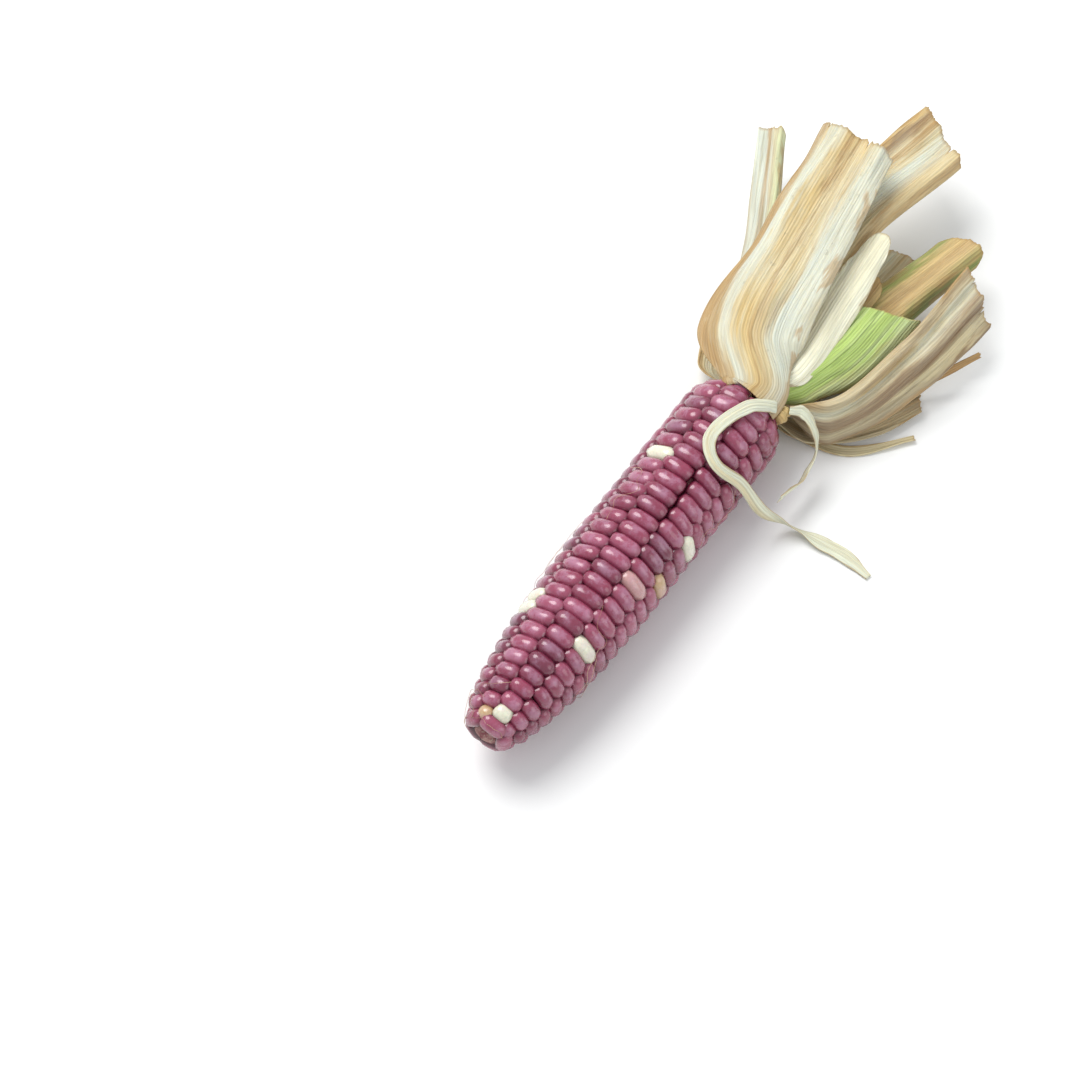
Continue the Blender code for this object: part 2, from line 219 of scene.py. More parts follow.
# The two loose ends of the tie, as in their solids: points in mm and where the ribbon's face looks. turn
# is how far it is twisted there. The fibres are laid as on a strip of one length.
StripPoint = namedtuple("StripPoint", "x y z facing turn width")
STRIP_FIBRES = 90 * MM
LONG_STRIP = (
    StripPoint(-1.2, -11, 27, -44, 0, 3.8),
    StripPoint(-4.5, -8.8, 30.5, -32, 0, 3.8),
    StripPoint(-9, -5.9, 32.9, -22, 0, 3.8),
    StripPoint(-18.8, -2.7, 33.5, -10, 0, 3.8),
    StripPoint(-25.5, -3.4, 33.4, -16, 0, 3.8),
    StripPoint(-29.6, -8.8, 31.2, -30, 0, 3.8),
    StripPoint(-27, -15.9, 24, -62, 0, 3.8),
    StripPoint(-24.7, -22.8, 11.5, -70, 30, 3.6),
    StripPoint(-19.7, -31.1, 3, -30, 120, 3.8),
    StripPoint(-18.4, -40, 0.9, -5, 178, 4.6),
    StripPoint(-18.1, -48, 0.8, 0, 180, 4.6),
    StripPoint(-20.3, -58, 0.8, 0, 180, 2),
)
LOOP_STRIP = (
    StripPoint(1.6, -13.8, 24.2, -60, 0, 2.4),
    StripPoint(4, -17.3, 23.2, -66, 0, 3.6),
    StripPoint(3.4, -22, 18.5, -78, -15, 4.2),
    StripPoint(0.6, -24.8, 12.8, -90, -20, 4.4),
    StripPoint(-7.5, -25.8, 9.6, -100, -15, 4.2),
    StripPoint(-14.5, -24.8, 10.5, -104, 0, 3.6),
    StripPoint(-19.5, -24.6, 12.8, -100, 0, 2.8),
)


def srgb(colour):
    """A colour of 0 to 255 as the linear values that a shader takes."""
    shares = [part / 255 for part in colour]
    return tuple(s / 12.92 if s <= 0.04045 else ((s + 0.055) / 1.055) ** 2.4 for s in shares)


def length_setting(name, description, default):
    return FloatProperty(name=name, description=description, default=default, unit="LENGTH")


def colour_setting(name, description, default):
    return FloatVectorProperty(name=name, description=description, subtype="COLOR", default=srgb(default))


class EarSettings(PropertyGroup):
    kernel_pitch_base: length_setting("Pitch at base", "Between kernels of a row at the base", 5.2 * MM)
    kernel_pitch_tip: length_setting("Pitch at tip", "Between kernels of a row at the tip", 4.55 * MM)
    kernel_depth: length_setting("Kernel depth", "From a kernel's crown to its root", 6.4 * MM)
    cob_depth: length_setting("Chaff depth", "From the kernels' crowns to the chaff between", 3.1 * MM)
    unevenness: FloatProperty(
        name="Unevenness", description="How much the kernels differ in size and place", default=1.0, min=0,
        max=3)
    seed: IntProperty(name="Seed", description="Which kernels are darker and larger", default=11)
    kernel_dark: colour_setting("Darkest kernel", "Colour of the darkest kernels", (92, 30, 52))
    kernel_red: colour_setting("Usual kernel", "Colour of most kernels", (140, 54, 80))
    kernel_rose: colour_setting("Palest kernel", "Colour of the palest red kernels", (166, 86, 112))
    kernel_white: colour_setting("White kernel", "Colour of the kernels without red", (222, 220, 196))
    kernel_tan: colour_setting("Tan kernel", "Colour of the tan kernels", (190, 158, 116))
    kernel_blush: colour_setting("Blush kernel", "Colour of the half-red kernels", (188, 142, 138))
    chaff: colour_setting("Chaff", "Colour of the cob between the kernels", (170, 130, 122))


class HuskSettings(PropertyGroup):
    leaf_thickness: length_setting("Leaf thickness", "Thickness of a husk leaf", 0.32 * MM)
    column_width: length_setting("Mesh width", "Width of the mesh's columns across a leaf", 0.42 * MM)
    rib_spacing: length_setting("Rib spacing", "Distance between the raised ribs", 2.4 * MM)
    rib_height: length_setting("Rib height", "How far the ribs stand out", 0.07 * MM)
    wave_height: length_setting("Wave height", "How far the leaf's edges wave", 1.1 * MM)
    wave_length: length_setting("Wave length", "Length of the edges' waves", 24 * MM)


class TieSettings(PropertyGroup):
    strip_thickness: length_setting("Strip thickness", "Thickness of the tie's strip", 0.22 * MM)
    band_turns: FloatProperty(
        name="Band turns", description="How often the strip goes round the neck", default=2.2, min=1, max=4)


class SilkSettings(PropertyGroup):
    threads: IntProperty(name="Threads", description="Number of silk threads left on the ear", default=10)
    radius: length_setting("Thread radius", "Radius of a silk thread", 0.05 * MM)
    colour: colour_setting("Silk", "Colour of the dry silk", (150, 106, 84))


class StageSettings(PropertyGroup):
    azimuth: FloatProperty(
        name="Azimuth", description="Where the camera stands round the ear", default=math.radians(-55),
        subtype="ANGLE")
    elevation: FloatProperty(
        name="Elevation", description="Height of the camera above the horizon", default=math.radians(60),
        subtype="ANGLE")
    distance: length_setting("Distance", "From the camera to what it looks at", 0.9)
    focal_length: FloatProperty(
        name="Focal length", description="Focal length of the lens in mm", default=105)
    floor: colour_setting("Floor", "Colour of the floor", (240, 240, 238))
    key_power: FloatProperty(
        name="Key light", description="Power of the large light from the left", default=8.0, unit="POWER")
    fill_power: FloatProperty(
        name="Fill light", description="Power of the light from the right", default=2.2, unit="POWER")
    sky: FloatProperty(name="Sky", description="Strength of the even light from all round", default=0.7)


class CornSettings(PropertyGroup):
    ear: PointerProperty(type=EarSettings)
    husk: PointerProperty(type=HuskSettings)
    tie: PointerProperty(type=TieSettings)
    silk: PointerProperty(type=SilkSettings)
    stage: PointerProperty(type=StageSettings)


# Shapes


def direction(angle):
    """The unit vector at an angle in degrees round the X axis."""
    return Vector((0, math.sin(math.radians(angle)), math.cos(math.radians(angle))))


def ease(t):
    t = max(0.0, min(1.0, t))
    return t * t * (3 - 2 * t)


def wander(*place):
    """Smooth noise from -1 to 1."""
    return noise.noise(Vector(place))


def ear_radius(along):
    """The radius to the kernels' crowns at a distance from the base."""
    if along < SHOULDER_LENGTH:
        short = 1 - max(0, along) / SHOULDER_LENGTH
        return SHOULDER_RADIUS + (EAR_RADIUS - SHOULDER_RADIUS) * math.sqrt(1 - short**2)
    taper = max(0, (along / EAR_LENGTH - TAPER_FROM) / (1 - TAPER_FROM))
    return EAR_RADIUS * (1 - min(1, taper) ** 2.6) ** 0.36


def ear_slope(along):
    """The lean of the ear's surface from its axis, in radians, growing towards the tip."""
    step = 0.4 * MM
    low, high = max(0, along - step), min(EAR_LENGTH, along + step)
    return math.atan2(ear_radius(low) - ear_radius(high), high - low)


def ear_point(along, angle, radius):
    return Vector((NECK.x - along, NECK.y, NECK.z)) + radius * direction(angle)


def curve_direction(points, index):
    return (points[min(index + 1, len(points) - 1)] - points[max(index - 1, 0)]).normalized()


def curve_point(points, t):
    """A smooth curve through the points, which it reaches at whole values of t."""
    index = min(int(t), len(points) - 2)
    near, far = points[index], points[index + 1]
    reach = (far - near).length / 3
    near_handle = near + curve_direction(points, index) * reach
    far_handle = far - curve_direction(points, index + 1) * reach
    f = t - index
    g = 1 - f
    return near * g**3 + near_handle * (3 * g * g * f) + far_handle * (3 * g * f * f) + far * f**3


def curve_value(values, t):
    """Ease from each value to the next, in step with curve_point."""
    index = min(int(t), len(values) - 2)
    return values[index] + (values[index + 1] - values[index]) * ease(t - index)


def curve_frame(points, t, facing, step=0.02):
    """The point at t, the way along the curve, the outward normal nearest to facing, and the side.

    A longer step turns the sections less at a bend."""
    here = curve_point(points, t)
    ahead = curve_point(points, min(t + step, len(points) - 1))
    behind = curve_point(points, max(t - step, 0))
    along = (ahead - behind).normalized()
    out = direction(facing)
    out = (out - along * out.dot(along)).normalized()
    return here, along, out, along.cross(out)


# Meshes


def new_piece(name, add, **size):
    """Add a primitive with nothing else selected, and name it."""
    bpy.ops.object.select_all(action="DESELECT")
    add(**size)
    piece = bpy.context.object
    piece.name = piece.data.name = name
    return piece


def thicken(piece, thickness, offset=0):
    """Give the sheet its thickness with an applied Solidify modifier."""
    wall = piece.modifiers.new("thickness", "SOLIDIFY")
    wall.thickness = thickness
    wall.offset = offset
    bpy.context.view_layer.objects.active = piece
    bpy.ops.object.modifier_apply(modifier=wall.name)


def store(piece, name, values):
    """Keep one number for each vertex, for the material to read."""
    attribute = piece.data.attributes.new(name, "FLOAT", "POINT")
    attribute.data.foreach_set("value", values)


def store_fibres(piece, rows):
    """Keep each vertex's share across and along the leaf, and a UV map in decimetres.

    The map's x goes across the fibres, and its y along them."""
    across_shares, along_shares, places = zip(*rows)
    store(piece, "across", across_shares)
    store(piece, "along", along_shares)
    mesh = piece.data
    layer = mesh.uv_layers.active
    layer.name = "fibre"
    for loop in mesh.loops:
        across, along = places[loop.vertex_index]
        layer.data[loop.index].uv = (across * 10, along * 10)


def finish_piece(piece, material, slot, *nodes):
    """Shade the piece, give it its material, and tie it to the frame."""
    piece.data.materials.clear()
    piece.data.materials.append(material)
    piece.data.shade_smooth()
    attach(piece, "root")
    if nodes:
        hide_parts(*nodes)


# Materials


class Shading:
    """A small helper that adds and links the nodes of one tree."""

    def __init__(self, tree):
        self.tree = tree

    def node(self, kind, **settings):
        made = self.tree.nodes.new(kind)
        for key, value in settings.items():
            setattr(made, key, value)
        return made

    def fill(self, socket, value):
        if isinstance(value, bpy.types.NodeSocket):
            self.tree.links.new(value, socket)
        else:
            socket.default_value = value

    def set_inputs(self, node, **values):
        """Link or set a node's sockets, with _ for a space in their names."""
        for name, value in values.items():
            self.fill(node.inputs[name.replace("_", " ")], value)

    def math(self, operation, a, b=0.0):
        made = self.node("ShaderNodeMath", operation=operation)
        self.fill(made.inputs[0], a)
        self.fill(made.inputs[1], b)
        return made.outputs[0]

    def plus(self, a, b):
        return self.math("ADD", a, b)

    def minus(self, a, b):
        return self.math("SUBTRACT", a, b)

    def times(self, a, b):
        return self.math("MULTIPLY", a, b)

    def spread(self, value, low, high, to_low=0.0, to_high=1.0):
        """Map the range from low to high smoothly to another."""
        made = self.node("ShaderNodeMapRange", interpolation_type="SMOOTHSTEP")
        for index, part in enumerate((value, low, high, to_low, to_high)):
            self.fill(made.inputs[index], part)
        return made.outputs[0]

    def mix(self, share, a, b, blend="MIX"):
        made = self.node("ShaderNodeMix", data_type="RGBA", blend_type=blend)
        self.fill(made.inputs[0], share)
        self.fill(made.inputs[6], a if isinstance(a, bpy.types.NodeSocket) else (*a, 1))
        self.fill(made.inputs[7], b if isinstance(b, bpy.types.NodeSocket) else (*b, 1))
        return made.outputs[2]

    def noise(self, vector, scale, detail=2.0, roughness=0.5, distortion=0.0):
        made = self.node("ShaderNodeTexNoise")
        self.set_inputs(
            made, Vector=vector, Scale=scale, Detail=detail, Roughness=roughness, Distortion=distortion)
        return made.outputs["Fac"]

    def stretch(self, vector, scale, shift=(0, 0, 0)):
        made = self.node("ShaderNodeMapping")
        self.set_inputs(made, Vector=vector, Scale=scale, Location=shift)
        return made.outputs["Vector"]

    def attribute(self, name, output="Fac"):
        return self.node("ShaderNodeAttribute", attribute_name=name).outputs[output]

    def bump(self, height, distance, strength=1.0):
        made = self.node("ShaderNodeBump")
        self.set_inputs(made, Height=height, Distance=distance, Strength=strength)
        return made.outputs["Normal"]


def new_material(name):
    material = bpy.data.materials.new(name)
    material.use_nodes = True
    return material, Shading(material.node_tree), material.node_tree.nodes["Principled BSDF"]


FIBRE_MASKS = ("Streaks", "Fibres", "Blotches", "Spots", "Drift", "Height")


def husk_group():
    """Masks of a dry leaf along its fibres: streaks, fibres, blotches, spots, drift, and a height."""
    made = bpy.data.node_groups.get("husk_fibres")
    if made:
        return made
    tree = bpy.data.node_groups.new("husk_fibres", "ShaderNodeTree")
    tree.interface.new_socket("Seed", in_out="INPUT", socket_type="NodeSocketVector")
    for output in FIBRE_MASKS:
        tree.interface.new_socket(output, in_out="OUTPUT", socket_type="NodeSocketFloat")
    shading = Shading(tree)
    seed = shading.node("NodeGroupInput").outputs["Seed"]
    fibre_map = shading.node("ShaderNodeUVMap", uv_map="fibre").outputs["UV"]
    wide = shading.stretch(fibre_map, (20, 0.8, 1), seed)
    streaks = shading.noise(wide, 1.0, 3.0, 0.55, 0.3)
    narrow = shading.stretch(fibre_map, (90, 2.0, 1), seed)
    thin_streaks = shading.noise(narrow, 1.0, 3.0, 0.6)
    finest = shading.stretch(fibre_map, (260, 8.0, 1), seed)
    fibres = shading.noise(finest, 1.0, 2.0, 0.6)
    both = shading.plus(shading.times(streaks, 0.62), shading.times(thin_streaks, 0.38))
    blotches = shading.noise(shading.stretch(fibre_map, (9, 2.2, 1), seed), 1.0, 4.0, 0.6, 0.5)
    drift = shading.noise(shading.stretch(fibre_map, (26, 2.2, 1), seed), 1.0, 4.0, 0.65)
    speckle = shading.noise(shading.stretch(fibre_map, (60, 36, 1), seed), 1.0, 2.0, 0.5)
    ribs = shading.node("ShaderNodeTexWave", wave_type="BANDS", bands_direction="X", wave_profile="SIN")
    shading.set_inputs(ribs, Vector=fibre_map, Scale=36, Distortion=1.2, Detail=1.0, Detail_Scale=0.6)
    height = shading.plus(shading.times(ribs.outputs["Fac"], 0.55), fibres)
    height = shading.plus(height, shading.times(thin_streaks, 0.6))
    shading.set_inputs(
        shading.node("NodeGroupOutput"), Streaks=shading.spread(both, 0.42, 0.62),
        Fibres=shading.spread(fibres, 0.3, 0.7), Blotches=shading.spread(blotches, 0.4, 0.65),
        Spots=shading.spread(speckle, 0.66, 0.74), Drift=drift, Height=height)
    return tree


def husk_material(name, tint):
    """Dry husk: streaks and fibres along the leaf, long bands, tinted edges, bleaching and mildew spots."""
    material, shading, shader = new_material(name)
    group = shading.node("ShaderNodeGroup")
    group.node_tree = husk_group()
    chance = random.Random(name)
    group.inputs["Seed"].default_value = (chance.uniform(0, 9), chance.uniform(0, 9), chance.uniform(0, 9))
    streaks, fibres, blotches, spots, drift, height = (group.outputs[mask] for mask in FIBRE_MASKS)
    across = shading.attribute("across")
    along = shading.attribute("along")
    streaky = shading.times(streaks, tint.streakiness)
    colour = shading.mix(streaky, srgb(tint.ground), srgb(tint.streak))
    uneven = shading.times(shading.minus(blotches, 0.5), 0.5)
    place = shading.plus(across, uneven)
    for edge, paint in ((0.9, tint.plus_edge), (-0.9, tint.minus_edge)):
        edging = shading.spread(place, math.copysign(0.35, edge), edge)
        colour = shading.mix(shading.times(edging, tint.edging), colour, srgb(paint))
    warp = shading.times(shading.minus(drift, 0.5), 1.1)
    warped = shading.plus(across, warp)
    patchy = shading.spread(drift, 0.35, 0.62, 0.35, 1.0)
    for centre, half, paint, strength in tint.bands:
        offset = shading.math("ABSOLUTE", shading.minus(warped, centre))
        band = shading.spread(offset, half * 1.5, half * 0.3, 0.0, strength)
        colour = shading.mix(shading.times(band, patchy), colour, srgb(paint))
    bleached = shading.times(blotches, tint.spots * 0.35)
    colour = shading.mix(bleached, colour, srgb(WHITE_GREEN))
    rim = shading.spread(shading.math("ABSOLUTE", place), 0.92, 1.04, 0.0, 0.6)
    colour = shading.mix(rim, colour, srgb(TAN))
    colour = shading.mix(1.0, colour, shading.spread(fibres, 0, 1, 0.84, 1.06), "MULTIPLY")
    mildew = shading.times(shading.times(spots, blotches), tint.spots * 0.55)
    colour = shading.mix(mildew, colour, srgb(MILDEW))
    foot = shading.spread(along, 0.10, 0.0, 0.0, 0.35)
    torn_end = shading.spread(along, 0.985, 1.0, 0.0, 0.5)
    for share in (foot, torn_end):
        colour = shading.mix(share, colour, srgb(TAN))
    shading.set_inputs(
        shader, Base_Color=colour, Roughness=shading.spread(streaks, 0, 1, 0.5, 0.66), Specular_IOR_Level=0.4,
        Subsurface_Weight=0.12, Subsurface_Radius=(1.0, 0.7, 0.35), Subsurface_Scale=1.5 * MM,
        Normal=shading.bump(height, 0.16 * MM, 0.9))
    return material


def kernel_material():
    """Glossy kernels: each with its own colour, with painted shade down its flanks and a faint painted sheen
    on its crown.
    """
    material, shading, shader = new_material("kernels")
    place = shading.node("ShaderNodeTexCoord").outputs["Object"]
    own = shading.attribute("kernel_colour", "Color")
    crown = shading.attribute("crown")
    cloudy = shading.noise(place, 260, 3.0, 0.6)
    streaky = shading.noise(place, 1500, 2.0, 0.5)
    # Painted shade: each kernel's colour is darkened down its flanks, towards the grooves between the
    # kernels.
    painted_flank_shade = shading.mix(1.0, own, (0.30, 0.14, 0.22), "MULTIPLY")
    colour = shading.mix(shading.spread(crown, 0.05, 0.8), painted_flank_shade, own)
    # Painted sheen: a paler pink mixed into the kernels' crowns in mottled patches, standing in for the sky's
    # reflection.
    light = shading.mix(0.26, own, srgb((214, 176, 204)))
    painted_sheen = shading.times(shading.spread(crown, 0.6, 1.0), shading.spread(cloudy, 0.38, 0.66))
    colour = shading.mix(painted_sheen, colour, light)
    colour = shading.mix(1.0, colour, shading.spread(streaky, 0.3, 0.7, 0.93, 1.05), "MULTIPLY")
    height = shading.plus(cloudy, shading.times(streaky, 0.12))
    shading.set_inputs(
        shader, Base_Color=colour, Roughness=shading.spread(cloudy, 0.35, 0.7, 0.2, 0.36),
        Specular_IOR_Level=0.55, Coat_Weight=0.5, Coat_Roughness=0.14, Subsurface_Weight=0.1,
        Subsurface_Radius=(1.0, 0.35, 0.3), Subsurface_Scale=1.2 * MM,
        Normal=shading.bump(height, 0.12 * MM, 0.6))
    return material


def chaff_material(settings):
    """The papery chaff between the kernels."""
    material, shading, shader = new_material("chaff")
    place = shading.node("ShaderNodeTexCoord").outputs["Object"]
    rough = shading.noise(place, 420, 4.0, 0.65)
    fine = shading.noise(place, 1600, 2.0, 0.5)
    colour = shading.mix(shading.spread(rough, 0.38, 0.64), srgb((120, 60, 66)), tuple(settings.chaff))
    colour = shading.mix(shading.spread(fine, 0.55, 0.75, 0.0, 0.6), colour, srgb((196, 190, 168)))
    shading.set_inputs(
        shader, Base_Color=colour, Roughness=shading.spread(fine, 0.3, 0.7, 0.7, 0.9),
        Normal=shading.bump(rough, 0.5 * MM, 0.9))
    return material


def silk_material(settings):
    material, shading, shader = new_material("silk")
    place = shading.node("ShaderNodeTexCoord").outputs["Object"]
    shade = shading.noise(place, 160, 2.0, 0.5)
    colour = shading.mix(shading.spread(shade, 0.35, 0.65), tuple(settings.colour), srgb((206, 176, 140)))
    shading.set_inputs(shader, Base_Color=colour, Roughness=0.45)
    return material


def stem_material():
    material, shading, shader = new_material("stem")
    place = shading.node("ShaderNodeTexCoord").outputs["Object"]
    fibres = shading.noise(shading.stretch(place, (60, 900, 900)), 1.0, 3.0, 0.6)
    colour = shading.mix(shading.spread(fibres, 0.35, 0.65), srgb(STRAW), srgb(BROWN))
    shading.set_inputs(
        shader, Base_Color=colour, Roughness=shading.spread(fibres, 0.3, 0.7, 0.6, 0.8),
        Normal=shading.bump(fibres, 0.3 * MM))
    return material


# Operators


class CORN_OT_cob(Operator):
    """Make the chaff-covered surface of the cob between the kernels"""

    bl_idname = "corn.cob"
    bl_label = "Cob"

    def execute(self, context):
        settings = context.scene.corn.ear
        cob = new_piece(
            "cob_chaff", bpy.ops.mesh.primitive_uv_sphere_add, segments=60, ring_count=90, radius=1)
        for vertex in cob.data.vertices:
            share = math.acos(max(-1, min(1, vertex.co.z))) / math.pi
            angle = math.degrees(math.atan2(vertex.co.y, vertex.co.x))
            along = share * (EAR_LENGTH - 1.7 * MM) + 0.5 * MM
            bare_tip = BARE_TIP_SHARE * ear_radius(along) * ease((along - EAR_LENGTH) / BARE_TIP_LENGTH + 1)
            radius = max(0, ear_radius(along) - settings.cob_depth, bare_tip)
            radius += 0.25 * MM * wander(along * 400, angle / 12, 3)
            if share in (0, 1) or math.hypot(vertex.co.x, vertex.co.y) < 1e-5:
                radius = 0
            vertex.co = ear_point(along, -angle, radius)
        finish_piece(cob, chaff_material(settings), "kernels", "ear")
        return {"FINISHED"}


def model_kernel():
    """One kernel, 1 wide, 1 long and 1 deep: a domed crown of 16 faces on two rings of flank and a root."""
    kernel = new_piece("kernel", bpy.ops.mesh.primitive_grid_add, x_subdivisions=4, y_subdivisions=4, size=1)
    bpy.ops.object.mode_set(mode="EDIT")
    bpy.ops.mesh.select_all(action="SELECT")
    for _ in range(2):
        bpy.ops.mesh.extrude_region_move(TRANSFORM_OT_translate={"value": (0, 0, -0.5)})
    bpy.ops.object.mode_set(mode="OBJECT")
    for vertex in kernel.data.vertices:
        x, y, z = vertex.co * 2
        corner = (abs(x) * abs(y)) ** 1.6
        if z > -0.5:
            edge = max(abs(x), abs(y))
            narrow = (1 - 0.10 * corner) * (1 - 0.05 * edge**4)
            z = 1 - 0.24 * x**4 - 0.36 * y * y - 0.10 * edge**6
        elif z > -1.5:
            narrow, z = 1 - 0.08 * corner, 0.06
        else:
            narrow, z = (1 - 0.08 * corner) * 0.6, -1
        vertex.co = Vector((x * narrow, y * narrow, z)) / 2
    bpy.ops.object.mode_set(mode="EDIT")
    bpy.ops.mesh.select_all(action="SELECT")
    bpy.ops.mesh.normals_make_consistent(inside=False)
    bpy.ops.object.mode_set(mode="OBJECT")
    return kernel


class CORN_OT_kernels(Operator):
    """Make the rows of kernels, each a joined row of copies of one kernel"""

    bl_idname = "corn.kernels"
    bl_label = "Kernels"

    def pitch(self, settings, along):
        share = along / EAR_LENGTH
        return settings.kernel_pitch_base * (1 - share) + settings.kernel_pitch_tip * share

    def places(self, settings):
        """Distances of one row's kernels from the base, stepped along the ear's curved outline."""
        places = []
        along, travelled, due = 1.2 * MM, 0.0, 0.0
        step = 0.1 * MM
        while along < EAR_LENGTH - 0.6 * MM:
            if travelled >= due:
                places.append(along)
                due += self.pitch(settings, along)
            travelled += step / max(0.12, math.cos(ear_slope(along)))
            along += step
        return places

    def row_angle(self, settings, row, along):
        """Where the row runs round the ear, with its twist, its wander and the parting."""
        share = along / EAR_LENGTH
        angle = FIRST_ROW_ANGLE + 360 / KERNEL_ROWS * row + ROW_TWIST * share
        angle += 2.2 * wander(row * 1.7, share * 7, 8) * settings.unevenness
        if row in PARTED_ROWS:
            parted = ease((along - PARTING_FROM) / PARTING_EASE) * ease((PARTING_TO - along) / PARTING_EASE)
            angle += PARTING_ANGLE * parted * (1 if row == 0 else -1)
        return angle

    def tone(self, settings, chance, row, number, along):
        """The kernel's own colour: a listed kind, or a red that drifts along the ear."""
        reach = self.pitch(settings, along) / 2
        for odd_row, place, kind in ODD_KERNELS:
            if odd_row == row and abs(place * MM - along) <= reach:
                return Vector(getattr(settings, "kernel_" + kind))
        drift = 0.5 + 0.6 * wander(row * 0.7, number * 0.21, 5)
        shade = max(0, min(1, 0.55 * drift + 0.45 * chance.random()))
        if shade < 0.5:
            return Vector(settings.kernel_dark).lerp(Vector(settings.kernel_red), shade * 2)
        return Vector(settings.kernel_red).lerp(Vector(settings.kernel_rose), shade * 2 - 1)

    def add_kernel(self, context, settings, chance, pattern, row, number, along):
        crown = ear_radius(along)
        rows_here = KERNEL_ROWS if crown >= NARROW_CROWN else KERNEL_ROWS / 2
        angle = self.row_angle(settings, row, along)
        loose = ease(1 - along / LOOSE_LENGTH)
        width = math.tau * (crown - PACKED_DEPTH) / rows_here * KERNEL_SQUEEZE
        width = min(width, KERNEL_WIDEST) * (1 + 0.05 * chance.uniform(-1, 1))
        length = self.pitch(settings, along) * KERNEL_SQUEEZE
        length *= 1 + 0.06 * chance.uniform(-1, 1) + 0.16 * loose
        depth = settings.kernel_depth * min(1, crown / (9 * MM))
        lift = chance.uniform(-0.25, 0.15) * MM * settings.unevenness
        slope = ear_slope(along)
        out = (direction(angle) * math.cos(slope) + Vector((-1, 0, 0)) * math.sin(slope)).normalized()
        side = Vector((1, 0, 0)).cross(out).normalized()
        turn = Matrix((side, out.cross(side), out)).transposed().to_4x4()
        jitter = math.radians(3 + 7 * loose) * settings.unevenness
        tilt = Matrix.Rotation(chance.gauss(0, 0.6) * jitter, 4, "Z")
        tilt = tilt @ Matrix.Rotation(chance.gauss(0, 0.6) * jitter, 4, "X")
        centre = ear_point(along, angle, crown) - out * (depth / 2 - lift)
        kernel = pattern.copy()
        kernel.data = pattern.data.copy()
        context.collection.objects.link(kernel)
        store(kernel, "crown", [min(1, max(0, vertex.co.z / 0.5)) for vertex in kernel.data.vertices])
        size = Matrix.Diagonal((width, length, depth, 1))
        kernel.data.transform(Matrix.Translation(centre) @ turn @ tilt @ size)
        tone = self.tone(settings, chance, row, number, along)
        colours = kernel.data.attributes.new("kernel_colour", "FLOAT_COLOR", "POINT")
        colours.data.foreach_set("color", [*tone, 1] * len(kernel.data.vertices))
        return kernel

    def execute(self, context):
        settings = context.scene.corn.ear
        chance = random.Random(settings.seed)
        pattern = model_kernel()
        material = kernel_material()
        for row in range(KERNEL_ROWS):
            kernels = []
            for number, along in enumerate(self.places(settings)):
                half_pitch = 0.5 * (settings.kernel_pitch_base if number < 20 else settings.kernel_pitch_tip)
                along += (row % 2) * half_pitch
                along += 0.35 * MM * wander(row * 3.1, number * 0.6, 1) * settings.unevenness
                too_narrow = row % 2 and ear_radius(along) < NARROW_CROWN
                if along > EAR_LENGTH - LAST_KERNEL or too_narrow:
                    continue
                kernels.append(self.add_kernel(context, settings, chance, pattern, row, number, along))
            bpy.ops.object.select_all(action="DESELECT")
            for kernel in kernels:
                kernel.select_set(True)
            context.view_layer.objects.active = kernels[0]
            bpy.ops.object.join()
            joined = context.object
            joined.name = joined.data.name = f"kernel_row_{row + 1}"
            finish_piece(joined, material, "kernels", "ear")
        bpy.data.objects.remove(pattern)
        return {"FINISHED"}


class CORN_OT_silk(Operator):
    """Lay dry silk threads over the kernels, along the left side and round the tip"""

    bl_idname = "corn.silk"
    bl_label = "Silk"

    def execute(self, context):
        settings = context.scene.corn.silk
        chance = random.Random(23)
        data = bpy.data.curves.new("silk_threads", "CURVE")
        data.dimensions = "3D"
        data.bevel_depth = settings.radius
        data.bevel_resolution = 1
        data.use_fill_caps = True
        for thread in range(settings.threads):
            nearest, farthest, lowest, highest = SILK_REGIONS[thread % len(SILK_REGIONS)]
            along = chance.uniform(nearest, farthest) * EAR_LENGTH
            angle = chance.uniform(lowest, highest)
            heading = chance.uniform(-0.7, 0.7)
            count = chance.randint(22, 40)
            spline = data.splines.new("POLY")
            spline.points.add(count - 1)
            for index in range(count):
                curl = wander(thread * 7.3, index * 0.17, 2) * 2.6
                along += SILK_STEP * math.cos(heading + curl)
                along = max(4 * MM, min(EAR_LENGTH - 3 * MM, along))
                angle += math.degrees(SILK_STEP * math.sin(heading + curl) / max(6 * MM, ear_radius(along)))
                bounce = 0.1 + 0.3 * (1 + wander(thread * 3.7, index * 0.31, 9))
                point = ear_point(along, angle, ear_radius(along) + bounce * MM)
                point.z = max(point.z, 0.2 * MM)
                spline.points[index].co = (*point, 1)
        threads = bpy.data.objects.new("silk_threads", data)
        context.collection.objects.link(threads)
        bpy.ops.object.select_all(action="DESELECT")
        threads.select_set(True)
        context.view_layer.objects.active = threads
        bpy.ops.object.convert(target="MESH")
        finish_piece(context.object, silk_material(settings), "husk_dry")
        return {"FINISHED"}


def leaf_profile(leaf):
    """The leaf's centre line and, at its points, its width, the arc of its section and its facing."""
    radius = RING_RADII[leaf.ring]
    start = OUTER_LEAF_START if leaf.ring == OUTER_RING else LEAF_START
    base = NECK + Vector((start, 0, 0)) + radius * direction(leaf.angle)
    points = [base, base + Vector((BASE_LENGTH, 0, 0))]
    points += [PLAN_ORIGIN + Vector(point) * MM for point in (leaf.belly, leaf.middle, leaf.end)]
    base_width = radius * math.radians(leaf.span)
    widths = [base_width, base_width] + [width * MM for width in leaf.widths]
    arcs = [leaf.span, leaf.span, (leaf.span + leaf.cup) / 2, leaf.cup, leaf.cup]
    turn = leaf.facing - leaf.angle
    facings = [leaf.angle, leaf.angle, leaf.angle + turn * 0.5, leaf.angle + turn * 0.85, leaf.facing]
    return points, widths, [math.radians(arc) for arc in arcs], facings


def crease(turns):
    """A wave of flat flanks that meet in folds, from -1 to 1."""
    return math.asin(0.97 * math.cos(math.tau * turns)) / math.asin(0.97)


